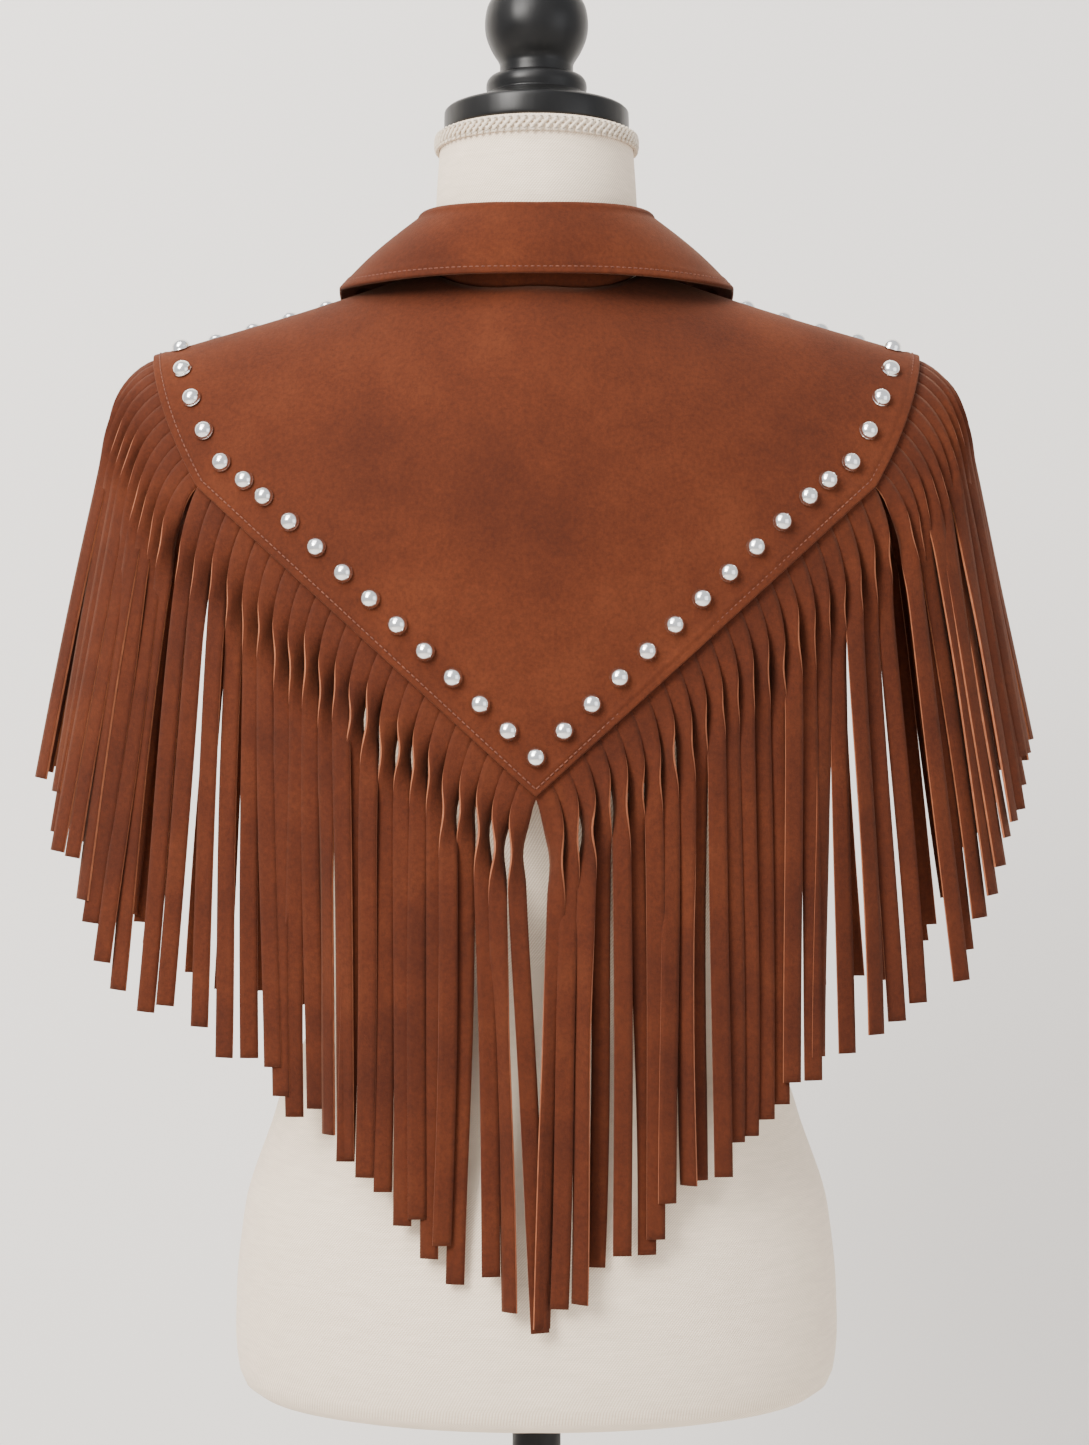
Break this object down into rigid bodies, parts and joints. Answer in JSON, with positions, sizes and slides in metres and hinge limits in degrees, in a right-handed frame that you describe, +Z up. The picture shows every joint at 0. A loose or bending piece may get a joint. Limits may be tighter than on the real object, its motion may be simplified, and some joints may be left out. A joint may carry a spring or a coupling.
{
  "type": "fringed capelet on a dress form",
  "caption": "Short suede capelet with a pointed yoke, turned collar, domed studs and long fringe, resting on a limbless dress form on a stand.",
  "frame": {"origin": "on the floor under the centre of the base", "axes": "+Z up, the wearer's front faces -Y and the pointed back faces +Y"},
  "size_m": [0.5674, 0.36, 1.6503],
  "materials": {
    "suede": "cognac brown suede with a mottled nap",
    "stud_metal": "polished nickel",
    "linen": "cream linen twill",
    "braid": "cream scroll gimp",
    "black_wood": "black satin turned wood",
    "black_metal": "black satin paint"
  },
  "bodies": {
    "root": {"back": "suede", "front_left": "suede", "front_right": "suede", "collar": "suede", "fringe_back_left": "suede", "fringe_back_right": "suede", "fringe_front_left": "suede", "fringe_front_right": "suede", "fringe_shoulder_back_left": "suede", "fringe_shoulder_back_right": "suede", "fringe_shoulder_front_left": "suede", "fringe_shoulder_front_right": "suede", "torso": "linen", "neck_braid": "braid", "neck_cap": "black_wood", "finial": "black_wood", "pole": "black_metal", "base": "black_metal", "stud_back_0": "stud_metal", "stud_back_left_1": "stud_metal", "stud_back_left_2": "stud_metal", "stud_back_left_3": "stud_metal", "stud_back_left_4": "stud_metal", "stud_back_left_5": "stud_metal", "stud_back_left_6": "stud_metal", "stud_back_left_7": "stud_metal", "stud_back_left_8": "stud_metal", "stud_back_left_9": "stud_metal", "stud_back_left_10": "stud_metal", "stud_back_left_11": "stud_metal", "stud_back_left_12": "stud_metal", "stud_back_left_13": "stud_metal", "stud_back_left_14": "stud_metal", "stud_back_left_15": "stud_metal", "stud_back_left_16": "stud_metal", "stud_back_right_1": "stud_metal", "stud_back_right_2": "stud_metal", "stud_back_right_3": "stud_metal", "stud_back_right_4": "stud_metal", "stud_back_right_5": "stud_metal", "stud_back_right_6": "stud_metal", "stud_back_right_7": "stud_metal", "stud_back_right_8": "stud_metal", "stud_back_right_9": "stud_metal", "stud_back_right_10": "stud_metal", "stud_back_right_11": "stud_metal", "stud_back_right_12": "stud_metal", "stud_back_right_13": "stud_metal", "stud_back_right_14": "stud_metal", "stud_back_right_15": "stud_metal", "stud_back_right_16": "stud_metal", "stud_shoulder_left_1": "stud_metal", "stud_shoulder_left_2": "stud_metal", "stud_shoulder_left_3": "stud_metal", "stud_shoulder_left_4": "stud_metal", "stud_shoulder_right_1": "stud_metal", "stud_shoulder_right_2": "stud_metal", "stud_shoulder_right_3": "stud_metal", "stud_shoulder_right_4": "stud_metal"}
  },
  "joints": []
}
